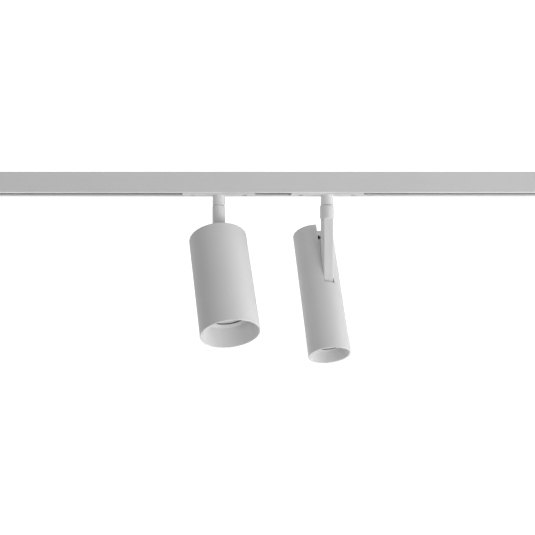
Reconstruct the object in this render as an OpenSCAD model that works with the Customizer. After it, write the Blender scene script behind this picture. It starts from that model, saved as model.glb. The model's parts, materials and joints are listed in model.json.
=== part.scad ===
// Two white cylindrical spotlights on slim adapters in a surface track.
// Origin: centre of the rail's top (ceiling) face. X runs along the rail,
// the lamps lean towards -Y, and +Z points up into the ceiling.
// A head's own frame has its origin on its tilt pivot, +Z up its tube and
// +X along the pivot pin. Depths inside a tube are measured from its top.

/* [Rail] */
// Length of the track rail
rail_len = 600; // [580:10:1000]
// Width of the rail across the ceiling
rail_w = 35; // [35:1:38]
// Height of the rail below the ceiling
rail_h = 20; // [20:0.1:22]
// Side wall thickness
rail_wall = 1.4; // [1.2:0.1:1.6]
// Width of the slot between the two lips
slot_w = 16.6; // [16.6:0.1:17]
// Distance between the two ceiling fixing holes
fix_span = 400; // [200:10:500]
// Diameter of a ceiling fixing hole
fix_d = 4.5; // [4:0.5:6]

/* [Adapters] */
// Distance between the two stems along the rail
stem_span = 108.2; // [100:0.1:150]
// Length of the adapter face plate
plate_len = 72; // [70:1:76]
// Distance from the stem to each quarter-turn rotor
rotor_x = 26; // [25:0.5:28]
// Outer diameter of the fixed stem stub
stub_d = 12.6; // [12.4:0.1:13]
// Depth of the swivel joint below the ceiling
swivel_z = 31; // [28:0.5:34]

/* [Wide head] */
// Outer diameter of the wide tube
wide_d = 57.8; // [54:0.1:60]
// Length of the wide tube
wide_len = 108.1; // [104:0.1:120]
// Compass turn of the wide head about its stem
wide_pan = 16.4; // [-40:0.1:40]
// Lean of the wide head from straight down
wide_tilt = 29.7; // [0:0.1:44]
// Height of the wide head's pivot below the ceiling
wide_pivot_z = 72.4; // [72:0.1:80]

/* [Slim head] */
// Outer diameter of the slim tube
slim_d = 41.8; // [40:0.1:44]
// Length of the slim tube
slim_len = 136.3; // [134:0.1:150]
// Compass turn of the slim head about its stem
slim_pan = 12.8; // [-40:0.1:40]
// Lean of the slim head from straight down
slim_tilt = 26; // [0:1:80]
// Height of the slim head's pivot below the ceiling
slim_pivot_z = 105.2; // [105:0.1:110]

/* [Hidden] */
$fn = 96;

// Colours of the finishes.
white_paint = [0.93, 0.93, 0.93];
white_plastic = [0.9, 0.9, 0.89];
grey_plastic = [0.62, 0.63, 0.64];
copper_tone = [0.78, 0.45, 0.28];
steel_tone = [0.7, 0.71, 0.73];
ceramic_tone = [0.95, 0.94, 0.9];
glass_tone = [0.85, 0.9, 0.95, 0.5];

// Rail section: web on top, two walls and two lips beside the slot.
web_t = 1.8;
lip_t = 1.6;
inner_y = rail_w / 2 - rail_wall;
lip_top = -rail_h + lip_t;
inset_y = 11;        // inner face of each insulator
inset_gap = 0.1;     // air between an insulator and the rail
groove_top = -7.5;
groove_bottom = -13.1;
conductor_y = 11.3;  // inner face of each conductor
conductor_t = 1.2;
strip_end = 4;       // conductors stop this far inside the rail's ends
earth_y = [3.2, 7.2];
earth_t = 0.8;

// Ends of the rail.
cap_t = 4;
feed_len = 62;
feed_wall = 2;
cover_t = 1.6;
gland_bore_d = 8;
gland_z = -rail_h / 2;

// Adapter: housing inside the channel and a plate that fills the slot.
plate_proud = 0.8;   // how far the plate stands out below the rail
plate_side_gap = 0.3;
plate_w = slot_w - 2 * plate_side_gap;
plate_bottom = -rail_h - plate_proud;
plate_top = lip_top + 0.4;
housing_len = plate_len - 3;
housing_w = 15.8;
housing_top = -4.2;
rotor_r = 2.5;
run_gap = 0.06;      // radial running clearance of a shaft in its hole
blade_z = [plate_top, plate_top + 2.4];
blade_reach = 10.6;
blade_w = 6.4;
tip_z = [-11.6, -9];
tip_reach = 11.1;
tip_w = 3;

// Stem: a fixed stub, and a sleeve that turns below it on a hollow tube.
spigot_r = 5.5;
spigot_top = -12.5;
tube_r = 3.5;
tube_bore_r = 2.4;
sleeve_r = [6.4, 7.1]; // wide head, slim head
swivel_gap = 0.3;
stop_r = 0.6;        // turn stop: a pin on the stub meets a lug in the sleeve
stop_orbit = 4.8;
stop_depth = 1.2;
sleeve_end_1 = -51;
sleeve_end_2 = -44.35;
washer_t = 0.5;
nut_t = 3.4;
nut_flats = 10;

// Hinges.
pin_r = 2;
pin_gap = 0.05;
bar_w = 10.3;        // bar width along the pin, wide head and slim head alike
bar_corner_r = 2.8;
bar_half = 4.5;      // half depth of the wide head's bar
arm_half = 5.6;      // half depth of the slim head's arm
arm_end_r = 7;       // its lower end, about the pin
slot_half = bar_w / 2 + 0.25;

// Lamps, the same in both heads.
ring_t = 1.0;
lens_gap = 1.4;      // air between the lens and the baffle ring
holder_t = 15;
lamp_pin_x = 5;
lens_t = 2;

// Wide head, depths from the top of the tube.
wide_r = wide_d / 2;
wide_bore_r = wide_r - 1.2;
wide_pivot_s = 9.6;
wide_cap_t = 3;
cap_slot_half = 17;
ear_t = 2.5;
ear_in = bar_w / 2 + 0.3;
ear_bottom_s = wide_pivot_s + 5.5;
wide_ring_s = wide_len - 20.6;
wide_ring_r = 20.7;
wide_lamp_r = 25;
wide_holder_s = 17;
wide_lamp_len = wide_ring_s - ring_t - lens_gap - wide_holder_s - holder_t;

// Slim head, depths from the top of the tube.
slim_r = slim_d / 2;
slim_bore_r = slim_r - 1.6;
slim_pivot_s = 60.4;
slim_back = 13.9;    // tube axis behind the pivot
slim_side = -3.6;    // tube axis beside the arm's middle plane
slim_cap_t = 2.5;
slot_gap = 0.3;
slot_back = arm_half + slot_gap;
liner_side = 3;
liner_floor = 1.6;
slim_ring_s = slim_len - 11.7;
slim_ring_r = 16.0;
slim_lamp_r = 17.5;
slim_holder_s = slim_pivot_s + 11;
slim_lamp_len = slim_ring_s - ring_t - lens_gap - slim_holder_s - holder_t;

// ---------- Placing ----------

// A bar of the rail's own cross-section plane, from x0 to x1.
module along_x(x0, x1)
    translate([x0, 0, 0]) rotate([90, 0, 90]) linear_extrude(x1 - x0) children();

// A flat shape, extruded between two heights.
module between(z0, z1)
    translate([0, 0, z0]) linear_extrude(z1 - z0) children();

// A round bar between two heights.
module rod(r, z0, z1)
    translate([0, 0, z0]) cylinder(r = r, h = z1 - z0);

// Side +1 is the slim head's adapter, -1 the wide head's.
module at_stem(side) translate([side * stem_span / 2, 0, 0]) children();

// The lock sits at the outer end of each adapter, the contacts at the inner.
module at_rotor(side, inner)
    at_stem(side) translate([(inner ? -1 : 1) * side * rotor_x, 0, 0]) children();

module at_swivel(side, pan) at_stem(side) rotate([0, 0, pan]) children();

// A swivel's lower end, with its origin on the tilt pivot.
module at_pivot(side, pan, z) at_swivel(side, pan) translate([0, 0, -z]) children();

module in_wide() at_pivot(-1, wide_pan, wide_pivot_z) rotate([-wide_tilt, 0, 0]) children();

module in_slim() at_pivot(1, slim_pan, slim_pivot_z) rotate([-slim_tilt, 0, 0]) children();

// The axis of a tube, with its origin at the top face.
module wide_axis() in_wide() translate([0, 0, wide_pivot_s]) children();

module slim_axis()
    in_slim() translate([slim_side, slim_back, slim_pivot_s]) children();

// ---------- Shared shapes ----------

module box2(y0, y1, z0, z1) translate([y0, z0]) square([y1 - y0, z1 - z0]);

// A rectangle with round corners, centred.
module soft_rect(x, y, r) {
    square([x - 2 * r, y], center = true);
    square([x, y - 2 * r], center = true);
    for (i = [-1, 1], j = [-1, 1])
        translate([i * (x / 2 - r), j * (y / 2 - r)]) circle(r);
}

// A hexagon by its distance across flats.
module hexagon(flats) circle(r = flats / 2 / cos(30), $fn = 6);

module ring2(r_out, r_in) difference() {
    circle(r_out);
    circle(r_in);
}

// A pan-head screw pointing down, its head's underside at z = 0.
module screw_down(r, len) {
    difference() {
        rod(1.9 * r, 0, 1.1 * r);
        between(0.5 * r, 1.2 * r) {
            square([2.6 * r, 0.5 * r], center = true);
            square([0.5 * r, 2.6 * r], center = true);
        }
    }
    rod(r, -len, 0.01);
}

// ---------- Rail ----------

module rail_section() difference() {
    box2(-rail_w / 2, rail_w / 2, -rail_h, 0);
    box2(-inner_y, inner_y, lip_top, -web_t);
    box2(-slot_w / 2, slot_w / 2, -rail_h - 1, lip_top + 1);
}

module track_rail() color(white_paint) difference() {
    along_x(-rail_len / 2, rail_len / 2) rail_section();
    for (i = [-1, 1])
        translate([i * fix_span / 2, 0, -web_t - 1]) cylinder(d = fix_d, h = web_t + 2);
}

module insulator_section() difference() {
    box2(inset_y, inner_y - inset_gap, lip_top + inset_gap, -web_t - inset_gap);
    box2(inset_y - 1, conductor_y + conductor_t, groove_bottom, groove_top);
}

module conductor_section()
    box2(conductor_y, conductor_y + conductor_t, groove_bottom, groove_top);

module insulator_rear()
    color(grey_plastic) along_x(-rail_len / 2, rail_len / 2) insulator_section();

module insulator_front()
    color(grey_plastic) along_x(-rail_len / 2, rail_len / 2)
        mirror([1, 0]) insulator_section();

module live_conductor()
    color(copper_tone) along_x(strip_end - rail_len / 2, rail_len / 2 - strip_end)
        conductor_section();

module neutral_conductor()
    color(copper_tone) along_x(strip_end - rail_len / 2, rail_len / 2 - strip_end)
        mirror([1, 0]) conductor_section();

module earth_strip()
    color(steel_tone) along_x(strip_end - rail_len / 2, rail_len / 2 - strip_end)
        box2(earth_y[0], earth_y[1], -web_t - earth_t, -web_t);

// ---------- Rail ends ----------

end_screw_r = 1.25;
end_screw_y = inset_y + 2.4;
end_screw_z = -4.6;

module at_end_screws() for (j = [-1, 1])
    translate([rail_len / 2 + cap_t, j * end_screw_y, end_screw_z]) rotate([0, 90, 0])
        children();

module end_cap() color(white_plastic) difference() {
    union() {
        along_x(rail_len / 2, rail_len / 2 + cap_t)
            translate([0, -rail_h / 2]) soft_rect(rail_w, rail_h, 1);
        along_x(rail_len / 2 - 3, rail_len / 2 + 0.01) box2(-8, 8, lip_top + 0.3, -3);
    }
    at_end_screws() rod(end_screw_r, -cap_t - 1, 1);
}

// Two screws close the end cap and two hold the feed cover.
module end_screws() color(steel_tone) {
    at_end_screws() screw_down(end_screw_r, cap_t);
    at_feed_screws() rotate([180, 0, 0]) screw_down(end_screw_r, 4);
}

feed_x0 = -rail_len / 2 - feed_len;
feed_x1 = -rail_len / 2;
feed_floor = -rail_h + cover_t;
feed_screw_x = [feed_x0 + 6, feed_x1 - 6];
feed_post_r = 3.4;

module at_feed_screws() for (x = feed_screw_x)
    translate([x, 0, -rail_h]) children();

module feed_housing() color(white_plastic) {
    difference() {
        along_x(feed_x0, feed_x1) box2(-rail_w / 2, rail_w / 2, feed_floor, 0);
        along_x(feed_x0 + feed_wall, feed_x1 - feed_wall)
            box2(-rail_w / 2 + feed_wall, rail_w / 2 - feed_wall, -rail_h, -feed_wall);
        // Opening towards the rail's channel.
        along_x(feed_x1 - feed_wall - 1, feed_x1 + 1)
            box2(-inset_y, inset_y, lip_top, -web_t - earth_t - 0.1);
        translate([feed_x0 - 1, 0, gland_z]) rotate([0, 90, 0])
            cylinder(d = gland_bore_d + 3, h = feed_wall + 2);
        at_feed_screws() rod(end_screw_r, 0, 4);
    }
    // Screw posts.
    for (x = feed_screw_x) translate([x, 0, 0]) difference() {
        rod(feed_post_r, post_top(x), -feed_wall);
        rod(end_screw_r, -rail_h, post_top(x) + 3);
    }
}

// The outer post stops above the cable's way in.
function post_top(x) = x < feed_x0 + 10 ? -feed_wall - 0.5 : feed_floor;

module feed_cover() color(white_plastic) difference() {
    along_x(feed_x0, feed_x1) box2(-rail_w / 2, rail_w / 2, -rail_h, feed_floor);
    at_feed_screws() rod(end_screw_r, -1, cover_t + 1);
}

// Cable gland: a flanged bush in the feed housing's end wall.
module cable_gland() color(white_plastic)
    translate([feed_x0, 0, gland_z]) rotate([0, 90, 0]) rotate_extrude() {
        translate([gland_bore_d / 2, -5]) square([3.2, 5]);
        translate([gland_bore_d / 2, -0.01]) square([1.5, feed_wall + 0.01]);
        translate([gland_bore_d / 2, feed_wall]) square([2.6, 1.5]);
    }

terminal_x = feed_x0 + 26;
terminal_pitch = 8;

module at_terminals() for (i = [-1, 0, 1])
    translate([terminal_x, i * terminal_pitch, -feed_wall]) children();

module terminal_block() color(ceramic_tone) difference() {
    translate([terminal_x - 7, -12, -feed_wall - 8]) cube([14, 24, 8]);
    at_terminals() {
        translate([-8, 0, -4]) rotate([0, 90, 0]) cylinder(r = 1.6, h = 16);
        rod(1.5, -9, -4);
    }
}

module terminal_screws() color(steel_tone) at_terminals() difference() {
    rod(1.5, -9, -5.6);
    translate([-2, -0.3, -10]) cube([4, 0.6, 1.7]);
}

// Two tongues that lie against the conductors and one on the earth strip.
module feed_contacts() color(copper_tone) {
    for (j = [-1, 1])
        along_x(feed_x1 - 22, feed_x1 + 14) mirror([j < 0 ? 1 : 0, 0])
            box2(conductor_y - 1.1, conductor_y - 0.3, -11.5, -9);
    along_x(feed_x1 - 22, feed_x1 + 14)
        box2(earth_y[0] + 0.5, earth_y[1] - 0.5, -web_t - earth_t - 1.1, -web_t - earth_t - 0.3);
}

// ---------- Adapters ----------

module adapter_housing(side) color(white_plastic) difference() {
    at_stem(side) between(plate_top, housing_top) soft_rect(housing_len, housing_w, 1);
    at_stem(side) {
        rod(spigot_r, plate_top - 1, spigot_top);
        rod(nut_flats * 0.66, spigot_top, housing_top + 1);
    }
    for (inner = [false, true]) at_rotor(side, inner) {
        rod(blade_reach + 0.4, plate_top - 1, blade_z[1] + 0.3);
        rod(rotor_r + run_gap, plate_top - 1, -6.8);
    }
    at_rotor(side, true) rod(tip_reach + 0.3, tip_z[0] - 0.4, tip_z[1] + 0.4);
    // Seat of the earth spring.
    at_stem(side) translate([-side * 14, 0, 0])
        between(housing_top - 0.6, housing_top + 1) translate([0, 5.2]) square([18, 3], center = true);
}

module face_plate(side) color(white_plastic) difference() {
    at_stem(side) between(plate_bottom, plate_top) soft_rect(plate_len, plate_w, 1.5);
    at_stem(side) rod(spigot_r, plate_bottom - 1, plate_top + 1);
    for (inner = [false, true])
        at_rotor(side, inner) rod(rotor_r + run_gap, plate_bottom - 1, plate_top + 1);
}

// Quarter-turn rotor: a shaft with a slotted foot, and a blade over the lips.
module rotor(foot_slot) difference() {
    union() {
        rod(rotor_r, plate_bottom - 0.1, -7);
        between(blade_z[0] + 0.2, blade_z[1]) intersection() {
            square([blade_w, 2 * blade_reach], center = true);
            circle(blade_reach);
        }
    }
    if (foot_slot)
        translate([-rotor_r, -0.4, plate_bottom - 1]) cube([2 * rotor_r, 0.8, 2]);
}

module lock_cam(side) color(steel_tone) at_rotor(side, false) rotor(true);

module contact_rotor(side) color(grey_plastic) at_rotor(side, true) difference() {
    rotor(true);
    between(tip_z[0], tip_z[1]) square([tip_w, 4 * rotor_r], center = true);
}

// One copper bar through the rotor, cut in two so live and neutral stay apart.
module contact_tips(side) color(copper_tone) at_rotor(side, true)
    between(tip_z[0], tip_z[1]) intersection() {
        difference() {
            square([tip_w, 2 * tip_reach], center = true);
            square([2 * tip_w, 1.6], center = true);
        }
        circle(tip_reach);
    }

// A bent leaf on the housing that reaches up to the earth strip.
module earth_spring(side) color(copper_tone) at_stem(side)
    translate([-side * 14, 5.2, 0]) rotate([90, 0, 0]) linear_extrude(3, center = true)
        polygon([
            [-9, housing_top - 0.6], [9, housing_top - 0.6], [9, housing_top - 0.2],
            [6, housing_top - 0.2], [2, -2.9], [-2, -2.9], [-6, housing_top - 0.2],
            [-9, housing_top - 0.2]
        ]);

// ---------- Stems and swivels ----------

module stem_stub(side, pan) color(white_paint) at_swivel(side, pan) {
    rotate_extrude() polygon([
        [tube_r + run_gap, -swivel_z], [stub_d / 2 - 0.4, -swivel_z],
        [stub_d / 2, -swivel_z + 0.4], [stub_d / 2, plate_bottom],
        [spigot_r, plate_bottom], [spigot_r, spigot_top],
        [tube_r + run_gap, spigot_top]
    ]);
    translate([0, stop_orbit, 0]) rod(stop_r, -swivel_z - stop_depth, -swivel_z + 0.01);
}

module swivel_sleeve(end_z, sleeve_r) {
    top_z = -swivel_z - swivel_gap;
    rotate_extrude() polygon([
        [tube_r, end_z], [sleeve_r - 0.3, end_z], [sleeve_r, end_z + 0.3],
        [sleeve_r, top_z - 0.4], [sleeve_r - 0.4, top_z],
        [stop_orbit + 0.9, top_z], [stop_orbit + 0.9, top_z - stop_depth - 0.3],
        [tube_r, top_z - stop_depth - 0.3]
    ]);
    translate([0, -stop_orbit, 0]) rod(stop_r, top_z - stop_depth - 0.4, top_z - 0.2);
}

module swivel_sleeve_1() color(white_paint) at_swivel(-1, wide_pan)
    swivel_sleeve(sleeve_end_1, sleeve_r[0]);

module swivel_sleeve_2() color(white_paint) at_swivel(1, slim_pan)
    swivel_sleeve(sleeve_end_2, sleeve_r[1]);

// The hollow tube that carries the head and lets the wires through.
module swivel_tube(end_z) between(end_z, -7.4) ring2(tube_r, tube_bore_r);

module swivel_tube_1() color(steel_tone) at_swivel(-1, wide_pan) swivel_tube(sleeve_end_1);

module swivel_tube_2() color(steel_tone) at_swivel(1, slim_pan) swivel_tube(sleeve_end_2);

washer_z = spigot_top + 0.1;

module swivel_washer() between(washer_z, washer_z + washer_t) ring2(5.3, tube_r);

module swivel_washer_1() color(steel_tone) at_swivel(-1, wide_pan) swivel_washer();

module swivel_washer_2() color(steel_tone) at_swivel(1, slim_pan) swivel_washer();

module swivel_nut() between(washer_z + washer_t, washer_z + washer_t + nut_t)
    difference() {
        hexagon(nut_flats);
        circle(tube_r);
    }

module swivel_nut_1() color(steel_tone) at_swivel(-1, wide_pan) swivel_nut();

module swivel_nut_2() color(steel_tone) at_swivel(1, slim_pan) swivel_nut();

// An upright bar with a round lower end about the pin, origin on the pin.
// Its lower corners are also round when seen from the front.
module hinge_bar(top, half, end_r, edge_r) difference() {
    intersection() {
        between(-end_r, top) soft_rect(bar_w, 2 * half, edge_r);
        translate([0, 0, top]) rotate([90, 0, 0]) linear_extrude(3 * end_r, center = true)
            soft_rect(bar_w, 2 * (top + end_r), bar_corner_r);
        rotate([90, 0, 90]) linear_extrude(bar_w, center = true) {
            circle(end_r);
            translate([-half, 0]) square([2 * half, top]);
        }
    }
    rotate([0, 90, 0]) cylinder(r = pin_r + pin_gap, h = bar_w + 2, center = true);
    rod(tube_bore_r, end_r + 3, top + 1);
}

module hinge_bar_1() color(white_paint) at_pivot(-1, wide_pan, wide_pivot_z)
    hinge_bar(wide_pivot_z + sleeve_end_1, bar_half, bar_half, 0.8);

module hinge_arm_2() color(white_paint) at_pivot(1, slim_pan, slim_pivot_z)
    hinge_bar(slim_pivot_z + sleeve_end_2, arm_half, arm_end_r, 1.2);

// ---------- Parts that both heads share, by radius and depth ----------

module tube_shell(r, bore_r, len) rotate_extrude() polygon([
    [bore_r, -len], [r - 0.3, -len], [r, -len + 0.3],
    [r, -0.5], [r - 0.5, 0], [bore_r, 0]
]);

// GU10 pattern: two round-ended pins in a holder with two sockets.
module lampholder(r, s) difference() {
    rod(r, -s - holder_t, -s);
    for (i = [-1, 1]) translate([i * lamp_pin_x, 0, 0]) rod(2.6, -s - holder_t - 1, -s - 5);
    at_spacers(r) rod(1.5, -s - 5, -s + 1);
}

module at_spacers(r) for (i = [-1, 1])
    translate([i * (r - 3), 0, 0]) children();

module lamp_pins(s) for (i = [-1, 1]) translate([i * lamp_pin_x, 0, -s - holder_t]) {
    rod(1.25, -0.2, 7.5);
    rod(2.4, 4.5, 7.5);
}

// A reflector lamp: neck under the holder, cone, and a short straight rim.
module lamp_body(r, len, s, neck_r) rotate_extrude() polygon([
    [0, -s - holder_t - 0.2], [neck_r, -s - holder_t - 0.2],
    [neck_r, -s - holder_t - 0.25 * len], [r, -s - holder_t - 0.72 * len],
    [r, -s - holder_t - len], [r - 1.2, -s - holder_t - len],
    [r - 1.2, -s - holder_t - len + lens_t], [0, -s - holder_t - len + lens_t]
]);

module lamp_lens(r, len, s)
    rod(r - 1.2, -s - holder_t - len, -s - holder_t - len + lens_t);

// A flat ring that hides the edge of the lamp.
module baffle_ring(bore_r, ring_r, s) rotate_extrude()
    translate([ring_r, -s]) square([bore_r - ring_r, ring_t]);

// ---------- Wide head ----------

wide_spacer_r = 14;
ear_base_x = ear_in + ear_t + 9;
ear_y = 7;
bracket_screw_x = ear_in + ear_t + 4;

module head_tube_1() color(white_paint) wide_axis() tube_shell(wide_r, wide_bore_r, wide_len);

module top_cap_1() color(white_paint) wide_axis() difference() {
    rod(wide_bore_r, -wide_cap_t, 0);
    between(-wide_cap_t - 1, 1) soft_rect(2 * slot_half, 2 * cap_slot_half, 2);
    at_bracket_screws() rod(1.5, -wide_cap_t - 1, -1);
}

module at_bracket_screws() for (i = [-1, 1], j = [-1, 1])
    translate([i * bracket_screw_x, j * 4, 0]) children();

// Two ears below the cap, each with a foot that is screwed to it.
module hinge_bracket_1() color(steel_tone) wide_axis() for (i = [-1, 1])
    mirror([i < 0 ? 1 : 0, 0, 0]) difference() {
        union() {
            translate([ear_in, -ear_y, -ear_bottom_s])
                cube([ear_t, 2 * ear_y, ear_bottom_s - wide_cap_t]);
            translate([ear_in, -ear_y, -wide_cap_t - 2])
                cube([ear_base_x - ear_in, 2 * ear_y, 2]);
        }
        translate([ear_in - 1, 0, -wide_pivot_s]) rotate([0, 90, 0])
            cylinder(r = pin_r, h = ear_t + 2);
        for (j = [-1, 1]) translate([bracket_screw_x, j * 4, 0])
            rod(1.5, -wide_cap_t - 3, -wide_cap_t);
    }

module bracket_screws_1() color(steel_tone) wide_axis() at_bracket_screws()
    translate([0, 0, -wide_cap_t - 2]) rotate([180, 0, 0]) screw_down(1.5, 4);

module pivot_pin_1() color(steel_tone) in_wide() rotate([0, 90, 0])
    cylinder(r = pin_r, h = 2 * (ear_in + ear_t + 0.8), center = true);

module lampholder_1() color(ceramic_tone) wide_axis() lampholder(wide_spacer_r + 3, wide_holder_s);

module holder_spacers_1() color(steel_tone) wide_axis() at_spacers(wide_spacer_r + 3)
    rod(1.5, -wide_holder_s - 5, -wide_cap_t - 2);

module lamp_body_1() color(ceramic_tone) wide_axis()
    lamp_body(wide_lamp_r, wide_lamp_len, wide_holder_s, 11);

module lamp_pins_1() color(steel_tone) wide_axis() lamp_pins(wide_holder_s);

module lamp_lens_1() color(glass_tone) wide_axis()
    lamp_lens(wide_lamp_r, wide_lamp_len, wide_holder_s);

module baffle_ring_1() color(white_paint) wide_axis()
    baffle_ring(wide_bore_r, wide_ring_r, wide_ring_s);

// ---------- Slim head ----------

// Room for the arm: a pocket about the pin, open to the front and the top.
module arm_room(grow_side, grow_back) in_slim()
    rotate([90, 0, 90]) linear_extrude(2 * (slot_half + grow_side), center = true) {
        circle(arm_end_r + slot_gap + grow_back);
        translate([-60, 0]) square([60 + slot_back + grow_back, slim_pivot_s + 5]);
        translate([-60, -slot_back - grow_back])
            square([60, 2 * (slot_back + grow_back)]);
    }

cable_hole_s = 8;

module head_tube_2() color(white_paint) difference() {
    slim_axis() tube_shell(slim_r, slim_bore_r, slim_len);
    arm_room(0, 0);
}

module top_cap_2() color(white_paint) difference() {
    slim_axis() rod(slim_bore_r, -slim_cap_t, 0);
    arm_room(liner_side, liner_floor);
}

// The trough that the arm folds into.
module slot_liner_2() color(white_paint) difference() {
    intersection() {
        slim_axis() rod(slim_bore_r, -slim_pivot_s - 20, 0);
        arm_room(liner_side, liner_floor);
    }
    arm_room(0, 0);
    in_slim() {
        rotate([0, 90, 0]) cylinder(r = pin_r, h = 40, center = true);
        // Wire way through the trough's floor.
        translate([-0.7, slot_back - 1, slim_pivot_s - cable_hole_s]) rotate([-90, 0, 0])
            cylinder(r = 2.5, h = liner_floor + 2);
    }
}

// The tube's wall is close on one side, so the pin is shorter there.
module pivot_pin_2() color(steel_tone) in_slim()
    translate([-slot_half - liner_side, 0, 0]) rotate([0, 90, 0])
        cylinder(r = pin_r, h = 2 * slot_half + liner_side + 1.2);

module at_spacers_2() for (i = [-1, 1]) translate([i * 9, 9, 0]) children();

// Two long screws run down behind the trough.
module liner_screws_2() color(steel_tone) slim_axis() at_spacers_2()
    rod(1.2, -slim_cap_t - 10, -slim_cap_t);

module lampholder_2() color(ceramic_tone) slim_axis() difference() {
    rod(15.5, -slim_holder_s - holder_t, -slim_holder_s);
    for (i = [-1, 1]) translate([i * lamp_pin_x, 0, 0])
        rod(2.6, -slim_holder_s - holder_t - 1, -slim_holder_s - 5);
    at_spacers_2() rod(1.5, -slim_holder_s - 5, -slim_holder_s + 1);
}

module holder_spacers_2() color(steel_tone) slim_axis() at_spacers_2() difference() {
    rod(1.5, -slim_holder_s - 5, -slim_cap_t);
    rod(1.2, -slim_cap_t - 10, -slim_cap_t + 1);
}

module lamp_body_2() color(ceramic_tone) slim_axis()
    lamp_body(slim_lamp_r, slim_lamp_len, slim_holder_s, 9);

module lamp_pins_2() color(steel_tone) slim_axis() lamp_pins(slim_holder_s);

module lamp_lens_2() color(glass_tone) slim_axis()
    lamp_lens(slim_lamp_r, slim_lamp_len, slim_holder_s);

module baffle_ring_2() color(white_paint) slim_axis()
    baffle_ring(slim_bore_r, slim_ring_r, slim_ring_s);

// ---------- Drawing ----------

module adapter_housing_1() adapter_housing(-1);
module adapter_housing_2() adapter_housing(1);
module face_plate_1() face_plate(-1);
module face_plate_2() face_plate(1);
module earth_spring_1() earth_spring(-1);
module earth_spring_2() earth_spring(1);
module stem_stub_1() stem_stub(-1, wide_pan);
module stem_stub_2() stem_stub(1, slim_pan);
module lock_cam_1() lock_cam(-1);
module lock_cam_2() lock_cam(1);
module contact_rotor_1() contact_rotor(-1);
module contact_rotor_2() contact_rotor(1);
module contact_tips_1() contact_tips(-1);
module contact_tips_2() contact_tips(1);

track_rail();
insulator_rear();
insulator_front();
live_conductor();
neutral_conductor();
earth_strip();
end_cap();
end_screws();
feed_housing();
feed_cover();
terminal_block();
terminal_screws();
feed_contacts();
cable_gland();
adapter_housing_1();
face_plate_1();
earth_spring_1();
stem_stub_1();
adapter_housing_2();
face_plate_2();
earth_spring_2();
stem_stub_2();
lock_cam_1();
lock_cam_2();
contact_rotor_1();
contact_tips_1();
contact_rotor_2();
contact_tips_2();
swivel_sleeve_1();
hinge_bar_1();
swivel_tube_1();
swivel_nut_1();
swivel_washer_1();
swivel_sleeve_2();
hinge_arm_2();
swivel_tube_2();
swivel_nut_2();
swivel_washer_2();
head_tube_1();
top_cap_1();
hinge_bracket_1();
bracket_screws_1();
pivot_pin_1();
lampholder_1();
holder_spacers_1();
lamp_body_1();
lamp_pins_1();
lamp_lens_1();
baffle_ring_1();
head_tube_2();
top_cap_2();
slot_liner_2();
liner_screws_2();
pivot_pin_2();
lampholder_2();
holder_spacers_2();
lamp_body_2();
lamp_pins_2();
lamp_lens_2();
baffle_ring_2();
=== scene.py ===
"""Two white spotlights on a ceiling track: materials, detail pieces, lights and camera."""
import json
import math

import bmesh
import bpy
import numpy as np
from mathutils import Matrix, Vector


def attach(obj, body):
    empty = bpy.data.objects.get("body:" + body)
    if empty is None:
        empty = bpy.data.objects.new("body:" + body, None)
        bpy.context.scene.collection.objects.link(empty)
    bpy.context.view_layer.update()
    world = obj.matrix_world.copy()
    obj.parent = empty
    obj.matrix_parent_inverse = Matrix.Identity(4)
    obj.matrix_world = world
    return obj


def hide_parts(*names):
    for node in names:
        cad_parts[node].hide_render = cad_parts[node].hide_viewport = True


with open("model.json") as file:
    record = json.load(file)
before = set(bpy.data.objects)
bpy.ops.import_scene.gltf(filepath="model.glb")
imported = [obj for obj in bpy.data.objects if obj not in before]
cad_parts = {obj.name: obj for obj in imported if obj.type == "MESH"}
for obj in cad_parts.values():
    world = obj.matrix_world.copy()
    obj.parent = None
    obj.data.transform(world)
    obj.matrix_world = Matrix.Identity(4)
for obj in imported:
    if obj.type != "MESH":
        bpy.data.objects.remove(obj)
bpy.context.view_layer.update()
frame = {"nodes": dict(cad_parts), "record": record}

MM = 0.001

# ---------- Materials ----------


def new_material(name):
    """An empty node material, with its tree, its Principled shader and its links."""
    mat = bpy.data.materials.new(name)
    mat.use_nodes = True
    tree = mat.node_tree
    shader = tree.nodes["Principled BSDF"]
    return mat, tree, shader


def object_noise(tree, scale, detail=2.0, roughness=0.5):
    """Noise in the object's own coordinates, so that it stays on the surface."""
    coords = tree.nodes.new("ShaderNodeTexCoord")
    noise = tree.nodes.new("ShaderNodeTexNoise")
    noise.inputs["Scale"].default_value = scale
    noise.inputs["Detail"].default_value = detail
    noise.inputs["Roughness"].default_value = roughness
    tree.links.new(coords.outputs["Object"], noise.inputs["Vector"])
    return noise


def ramp_between(tree, source, low, high, start=0.3, end=0.7):
    """A colour ramp from low to high, driven by source."""
    ramp = tree.nodes.new("ShaderNodeValToRGB")
    ramp.color_ramp.elements[0].position = start
    ramp.color_ramp.elements[0].color = low
    ramp.color_ramp.elements[1].position = end
    ramp.color_ramp.elements[1].color = high
    tree.links.new(source, ramp.inputs["Fac"])
    return ramp


def add_bump(tree, shader, source, strength, distance):
    bump = tree.nodes.new("ShaderNodeBump")
    bump.inputs["Strength"].default_value = strength
    bump.inputs["Distance"].default_value = distance
    tree.links.new(source, bump.inputs["Height"])
    tree.links.new(bump.outputs["Normal"], shader.inputs["Normal"])


def grey(v):
    return (v, v, v, 1.0)


def faded(tone, share):
    """An opaque colour: the tone, darkened to a share of itself."""
    return tuple(c * share for c in tone) + (1.0,)


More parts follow.
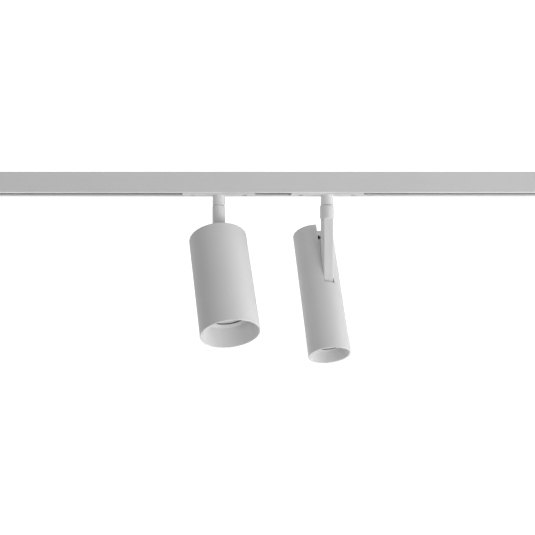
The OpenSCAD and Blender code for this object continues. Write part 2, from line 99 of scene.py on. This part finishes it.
def powder_coat(name, tone, rough=0.55, grain=0.00006):
    """Matt powder coat: a fine orange-peel grain, and slight cloudiness in colour and gloss."""
    mat, tree, shader = new_material(name)
    clouds = object_noise(tree, 18.0, 3.0)
    colour = ramp_between(tree, clouds.outputs["Fac"], faded(tone, 0.975), faded(tone, 1.0))
    tree.links.new(colour.outputs["Color"], shader.inputs["Base Color"])
    gloss = ramp_between(tree, clouds.outputs["Fac"], grey(rough - 0.04), grey(rough + 0.05))
    tree.links.new(gloss.outputs["Color"], shader.inputs["Roughness"])
    peel = object_noise(tree, 1400.0, 2.0, 0.6)
    add_bump(tree, shader, peel.outputs["Fac"], 0.35, grain)
    shader.inputs["Specular IOR Level"].default_value = 0.4
    return mat


def moulded_plastic(name, tone, rough=0.42):
    """Moulded plastic: a soft spark-eroded texture, finer and smoother than the paint."""
    mat, tree, shader = new_material(name)
    flow = object_noise(tree, 30.0, 4.0)
    colour = ramp_between(tree, flow.outputs["Fac"], faded(tone, 0.97), faded(tone, 1.0))
    tree.links.new(colour.outputs["Color"], shader.inputs["Base Color"])
    gloss = ramp_between(tree, flow.outputs["Fac"], grey(rough - 0.05), grey(rough + 0.06))
    tree.links.new(gloss.outputs["Color"], shader.inputs["Roughness"])
    spark = object_noise(tree, 2600.0, 1.0)
    add_bump(tree, shader, spark.outputs["Fac"], 0.2, 0.00003)
    return mat


def bare_metal(name, tone, rough=0.32, stretch=(1.0, 1.0, 40.0)):
    """Bare metal with drawn or rolled lines along one axis."""
    mat, tree, shader = new_material(name)
    coords = tree.nodes.new("ShaderNodeTexCoord")
    mapping = tree.nodes.new("ShaderNodeMapping")
    mapping.inputs["Scale"].default_value = stretch
    lines = tree.nodes.new("ShaderNodeTexNoise")
    lines.inputs["Scale"].default_value = 60.0
    lines.inputs["Detail"].default_value = 4.0
    tree.links.new(coords.outputs["Object"], mapping.inputs["Vector"])
    tree.links.new(mapping.outputs["Vector"], lines.inputs["Vector"])
    colour = ramp_between(tree, lines.outputs["Fac"], faded(tone, 0.82), faded(tone, 1.0))
    tree.links.new(colour.outputs["Color"], shader.inputs["Base Color"])
    gloss = ramp_between(tree, lines.outputs["Fac"], grey(rough - 0.08), grey(rough + 0.1))
    tree.links.new(gloss.outputs["Color"], shader.inputs["Roughness"])
    add_bump(tree, shader, lines.outputs["Fac"], 0.15, 0.00004)
    shader.inputs["Metallic"].default_value = 1.0
    return mat


def ceramic(name, tone):
    """Unglazed ceramic: chalky, with fine pores."""
    mat, tree, shader = new_material(name)
    pores = object_noise(tree, 900.0, 5.0, 0.7)
    low, high = faded(tone, 0.9), faded(tone, 1.0)
    colour = ramp_between(tree, pores.outputs["Fac"], low, high, 0.25, 0.6)
    tree.links.new(colour.outputs["Color"], shader.inputs["Base Color"])
    add_bump(tree, shader, pores.outputs["Fac"], 0.4, 0.00008)
    shader.inputs["Roughness"].default_value = 0.8
    return mat


def lens_frost(name, tone):
    """A frosted lamp front: pale and slightly glossy, mottled by the diodes behind it."""
    mat, tree, shader = new_material(name)
    mottle = object_noise(tree, 220.0, 2.0)
    colour = ramp_between(tree, mottle.outputs["Fac"], faded(tone, 0.93), faded(tone, 1.0))
    tree.links.new(colour.outputs["Color"], shader.inputs["Base Color"])
    shader.inputs["Roughness"].default_value = 0.25
    shader.inputs["Subsurface Weight"].default_value = 0.15
    shader.inputs["Subsurface Radius"].default_value = (0.002, 0.002, 0.002)
    shader.inputs["Subsurface Scale"].default_value = 1.0
    return mat


def painted_shade_black(name):
    """Near-black painted shade, with a dull mottle in colour and gloss: the rings that stand
    for the shadow gap between each lens and its baffle ring.
    """
    mat, tree, shader = new_material(name)
    bloom = object_noise(tree, 160.0, 4.0)
    colour = ramp_between(tree, bloom.outputs["Fac"], grey(0.02), grey(0.045))
    tree.links.new(colour.outputs["Color"], shader.inputs["Base Color"])
    gloss = ramp_between(tree, bloom.outputs["Fac"], grey(0.55), grey(0.75))
    tree.links.new(gloss.outputs["Color"], shader.inputs["Roughness"])
    return mat


WHITE = (0.80, 0.80, 0.80)
MATERIALS = {
    "rail_white": powder_coat("rail_powder_coat", WHITE, 0.5, 0.00004),
    "coated_metal": powder_coat("matt_powder_coat", WHITE, 0.62),
    "white_plastic": moulded_plastic("white_moulded_plastic", (0.83, 0.83, 0.83)),
    "grey_plastic": moulded_plastic("grey_insulator", (0.30, 0.31, 0.32), 0.5),
    "copper": bare_metal("rolled_copper", (0.85, 0.45, 0.28), 0.3, (0.3, 30.0, 30.0)),
    "plated_steel": bare_metal("plated_steel", (0.66, 0.67, 0.69), 0.34),
    "ceramic": ceramic("lampholder_ceramic", (0.82, 0.8, 0.74)),
    "lamp_shell": moulded_plastic("lamp_shell", (0.8, 0.8, 0.79), 0.35),
    "lens_glass": lens_frost("frosted_lens", (0.88, 0.88, 0.87)),
}
# Painted shade: a near-black material for the rings standing for the shadow gap between each
# lens and its baffle ring.
SHADE_RING_BLACK = painted_shade_black("painted_shade_ring_black")

slot_of = {s["node"]: s["material_slot"] for s in frame["record"]["subparts"]}
for name, obj in frame["nodes"].items():
    obj.data.materials.clear()
    obj.data.materials.append(MATERIALS[slot_of[name]])

# ---------- Soft edges ----------

SHARP = math.radians(35)
SAME_PLANE = math.radians(0.3)
ROUNDING_STEPS = 2
# In mm: the gap that a seam is joined across, and the widths of the rounding.
SEAM_GAP = 0.002
PAINTED_EDGE = 0.28
THIN_EDGE = 0.12
THIN_EDGE_SLOTS = ("grey_plastic", "plated_steel", "lens_glass")
# Small or inner pieces, whose edges stay as cut.
AS_CUT = (
    "conductor", "earth_strip", "contacts", "tips", "spring", "terminal", "nut", "washer",
    "swivel_tube", "screws",
)


def soften(obj, width_mm):
    """Joins the mesh's seams, makes each flat face whole, and then rounds the sharp edges,
    as paint and moulding do."""
    weld = obj.modifiers.new("joined", "WELD")
    weld.merge_threshold = SEAM_GAP * MM
    flat = obj.modifiers.new("whole_faces", "DECIMATE")
    flat.decimate_type = "DISSOLVE"
    flat.angle_limit = SAME_PLANE
    bevel = obj.modifiers.new("rounded", "BEVEL")
    bevel.width = width_mm * MM
    bevel.segments = ROUNDING_STEPS
    bevel.limit_method = "ANGLE"
    bevel.angle_limit = SHARP
    bevel.use_clamp_overlap = True


for name, obj in frame["nodes"].items():
    for poly in obj.data.polygons:
        poly.use_smooth = False
    if not any(word in name for word in AS_CUT):
        thin = slot_of[name] in THIN_EDGE_SLOTS
        soften(obj, THIN_EDGE if thin else PAINTED_EDGE)

# ---------- Lamp fronts, and black rings of painted shade ---

TURN_STEPS = 128


def axis_of(node):
    """A matrix at the middle of a flat round CAD node, with its Z axis along the node's own
    axis, pointing down and out of the lamp."""
    points = np.array([v.co[:] for v in frame["nodes"][node].data.vertices])
    points = np.unique(points.round(6), axis=0)
    middle = points.mean(axis=0)
    out = Vector(np.linalg.svd(points - middle)[2][2])
    if out.z > 0:
        out.negate()
    side = out.cross(Vector((0.0, 0.0, 1.0))).normalized()
    turn = Matrix((side, out.cross(side), out)).transposed().to_4x4()
    return Matrix.Translation(Vector(middle)) @ turn


def lathe(name, profile, place, body, materials):
    """Turns a profile of (radius, height, material number) in mm about an axis."""
    mesh = bpy.data.meshes.new(name)
    shape = bmesh.new()
    turns = [2 * math.pi * k / TURN_STEPS for k in range(TURN_STEPS)]
    rings = []
    for radius, height, _ in profile:
        if radius == 0:
            rings.append([shape.verts.new((0.0, 0.0, height * MM))])
            continue
        rings.append([
            shape.verts.new((radius * MM * math.cos(t), radius * MM * math.sin(t), height * MM))
            for t in turns
        ])
    for lower, upper, point in zip(rings, rings[1:], profile[1:]):
        for k in range(TURN_STEPS):
            n = (k + 1) % TURN_STEPS
            if len(lower) == 1:
                corners = (lower[0], upper[k], upper[n])
            elif len(upper) == 1:
                corners = (lower[k], upper[0], lower[n])
            else:
                corners = (lower[k], upper[k], upper[n], lower[n])
            face = shape.faces.new(corners)
            face.material_index = point[2]
            face.smooth = True
    bmesh.ops.recalc_face_normals(shape, faces=shape.faces)
    shape.to_mesh(mesh)
    shape.free()
    for mat in materials:
        mesh.materials.append(mat)
    obj = bpy.data.objects.new(name, mesh)
    obj.matrix_world = place
    bpy.context.scene.collection.objects.link(obj)
    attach(obj, body)
    return obj


# Lengths in mm. Heights are from the middle of the CAD lens, towards the baffle ring.
LENS_BACK = -1.0
LENS_FRONT = 1.8
LENS_SAG = 0.35
# Heights of the black rings that paint the shadow in the gap between each lens and its baffle
# ring.
SHADE_RING_LOW = {"1": 1.56, "2": 1.9}
SHADE_RING_HIGH = 2.34
SHADE_RING_ROLL = 0.2
# How far the two edges of each painted shade ring lie outside the baffle ring's opening.
SHADE_RING_INSIDE = 0.08
SHADE_RING_OUTSIDE = 1.0
BEZEL_WIDTH = 2.6
DOME_SHARE = 0.55
DOME_STEPS = 6
PRISMS = 9
FROST, BEZEL = 0, 1


def lens_profile(radius):
    """A domed frosted disc with fine prism rings, held by a raised bezel."""
    disc = radius - BEZEL_WIDTH
    domed = DOME_SHARE * disc

    def surface(r):
        return LENS_FRONT - LENS_SAG * (r / disc) ** 2

    points = [(0, LENS_FRONT, FROST)]
    for k in range(1, DOME_STEPS + 1):
        r = domed * k / DOME_STEPS
        points.append((r, surface(r), FROST))
    width = (disc - domed) / PRISMS
    for k in range(PRISMS):
        start = domed + (disc - domed) * k / PRISMS
        points.append((start + 0.25 * width, surface(start) - 0.16, FROST))
        points.append((start + 0.9 * width, surface(start) - 0.02, FROST))
    return points + [
        (disc + 0.15, LENS_FRONT - 0.6, BEZEL), (disc + 0.35, LENS_FRONT - 0.63, BEZEL),
        (disc + 0.55, LENS_FRONT - 0.1, BEZEL), (disc + 0.8, LENS_FRONT + 0.05, BEZEL),
        (radius - 0.35, LENS_FRONT + 0.05, BEZEL), (radius, LENS_FRONT - 0.3, BEZEL),
        (radius, LENS_BACK, BEZEL), (0, LENS_BACK, BEZEL),
    ]


def shade_ring_profile(inner, outer, low):
    """A flat black ring with rolled edges between the lens and the baffle ring: painted shade,
    standing for the shadow gap there.
    """
    high, roll = SHADE_RING_HIGH, SHADE_RING_ROLL
    return [
        (inner, low + roll, 0), (inner + roll, low, 0), (outer - roll, low, 0),
        (outer, low + roll, 0), (outer, high - roll, 0), (outer - roll, high, 0),
        (inner + roll, high, 0), (inner, high - roll, 0), (inner, low + roll, 0),
    ]


def radii_of(node, place):
    """The least and the greatest distance of a CAD node's points from an axis, in mm."""
    to_axis = place.inverted()
    lengths = [(to_axis @ v.co).xy.length for v in frame["nodes"][node].data.vertices]
    return min(lengths) / MM, max(lengths) / MM


for k in ("1", "2"):
    lens = "lamp_lens_" + k
    place = axis_of(lens)
    _, radius = radii_of(lens, place)
    opening, _ = radii_of("baffle_ring_" + k, place)
    front = lathe(
        "lamp_front_" + k, lens_profile(radius), place, "head_" + k,
        [MATERIALS["lens_glass"], MATERIALS["lamp_shell"]],
    )
    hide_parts(lens)
    # Painted shade: a black ring in the gap between the lens and the baffle ring, standing for
    # its shadow.
    shade_ring_points = shade_ring_profile(opening + SHADE_RING_INSIDE, opening + SHADE_RING_OUTSIDE, SHADE_RING_LOW[k])
    lathe("lamp_painted_shade_ring_" + k, shade_ring_points, place, "head_" + k, [SHADE_RING_BLACK])

# ---------- Camera ----------

PHOTO_SIZE = 535
FOCAL_PX = 800
CAMERA_AWAY = 0.800
CAMERA_X = -0.0054
CAMERA_Z = -0.1276
HORIZON_BELOW_CENTRE_PX = 34.5
SENSOR_MM = 36.0

cam_data = bpy.data.cameras.new("camera")
cam_data.sensor_width = SENSOR_MM
cam_data.lens = SENSOR_MM * FOCAL_PX / PHOTO_SIZE
cam_data.shift_y = HORIZON_BELOW_CENTRE_PX / PHOTO_SIZE
camera = bpy.data.objects.new("camera", cam_data)
camera.location = (CAMERA_X, -CAMERA_AWAY, CAMERA_Z)
camera.rotation_euler = (math.pi / 2, 0.0, 0.0)
bpy.context.scene.collection.objects.link(camera)
bpy.context.scene.camera = camera

# ---------- Lights, floor and backdrop ----------

AIM = Vector((0.0, 0.0, -0.12))
LIGHT_AWAY = 2.2
LIGHT_SIZE = 1.3
SKY = 0.386
# Each soft box: its compass angle from the camera towards +X, its height angle, its watts.
SOFT_BOXES = {
    "key_right_low": (90, -25, 21.0),
    "key_front_right": (45, -25, 18.0),
    "top_right": (90, 60, 11.0),
    "back_left": (-135, -25, 10.0),
    "back_left_low": (-135, -60, 8.5),
}


def soft_box(name, turn, rise, watts):
    """A square area light, aimed at the lamps. The camera doesn't see it."""
    turn, rise = math.radians(turn), math.radians(rise)
    out = Vector((
        math.sin(turn) * math.cos(rise),
        -math.cos(turn) * math.cos(rise),
        math.sin(rise),
    ))
    data = bpy.data.lights.new(name, "AREA")
    data.shape = "SQUARE"
    data.size = LIGHT_SIZE
    data.energy = watts
    lamp = bpy.data.objects.new(name, data)
    lamp.location = AIM + out * LIGHT_AWAY
    lamp.rotation_euler = (-out).to_track_quat("-Z", "Y").to_euler()
    lamp.visible_camera = False
    bpy.context.scene.collection.objects.link(lamp)


for name, (turn, rise, watts) in SOFT_BOXES.items():
    soft_box(name, turn, rise, watts)

world = bpy.data.worlds.new("world")
world.use_nodes = True
sky = world.node_tree.nodes["Background"]
sky.inputs["Color"].default_value = grey(1.0)
sky.inputs["Strength"].default_value = SKY
bpy.context.scene.world = world

FLOOR_DROP = 1.4
ROOM = 30.0
FLOOR_GLOW = 0.75
BACKDROP_GLOW = 1.0


def white_stage(name, make, glow):
    """A plain white surface that only the camera sees, so that it neither lights nor shades."""
    mesh = bpy.data.meshes.new(name)
    shape = bmesh.new()
    make(shape)
    shape.to_mesh(mesh)
    shape.free()
    mat, tree, shader = new_material(name)
    shader.inputs["Base Color"].default_value = grey(0.9)
    shader.inputs["Roughness"].default_value = 0.9
    shader.inputs["Emission Color"].default_value = grey(1.0)
    shader.inputs["Emission Strength"].default_value = glow
    mesh.materials.append(mat)
    obj = bpy.data.objects.new(name, mesh)
    obj.visible_diffuse = False
    obj.visible_glossy = False
    obj.visible_transmission = False
    obj.visible_shadow = False
    bpy.context.scene.collection.objects.link(obj)
    return obj


floor = white_stage(
    "floor",
    lambda shape: bmesh.ops.create_grid(shape, x_segments=1, y_segments=1, size=ROOM),
    FLOOR_GLOW,
)
floor.location.z = -FLOOR_DROP
white_stage(
    "backdrop",
    lambda shape: bmesh.ops.create_icosphere(shape, subdivisions=4, radius=ROOM),
    BACKDROP_GLOW,
)

bpy.context.scene.view_settings.view_transform = "Standard"
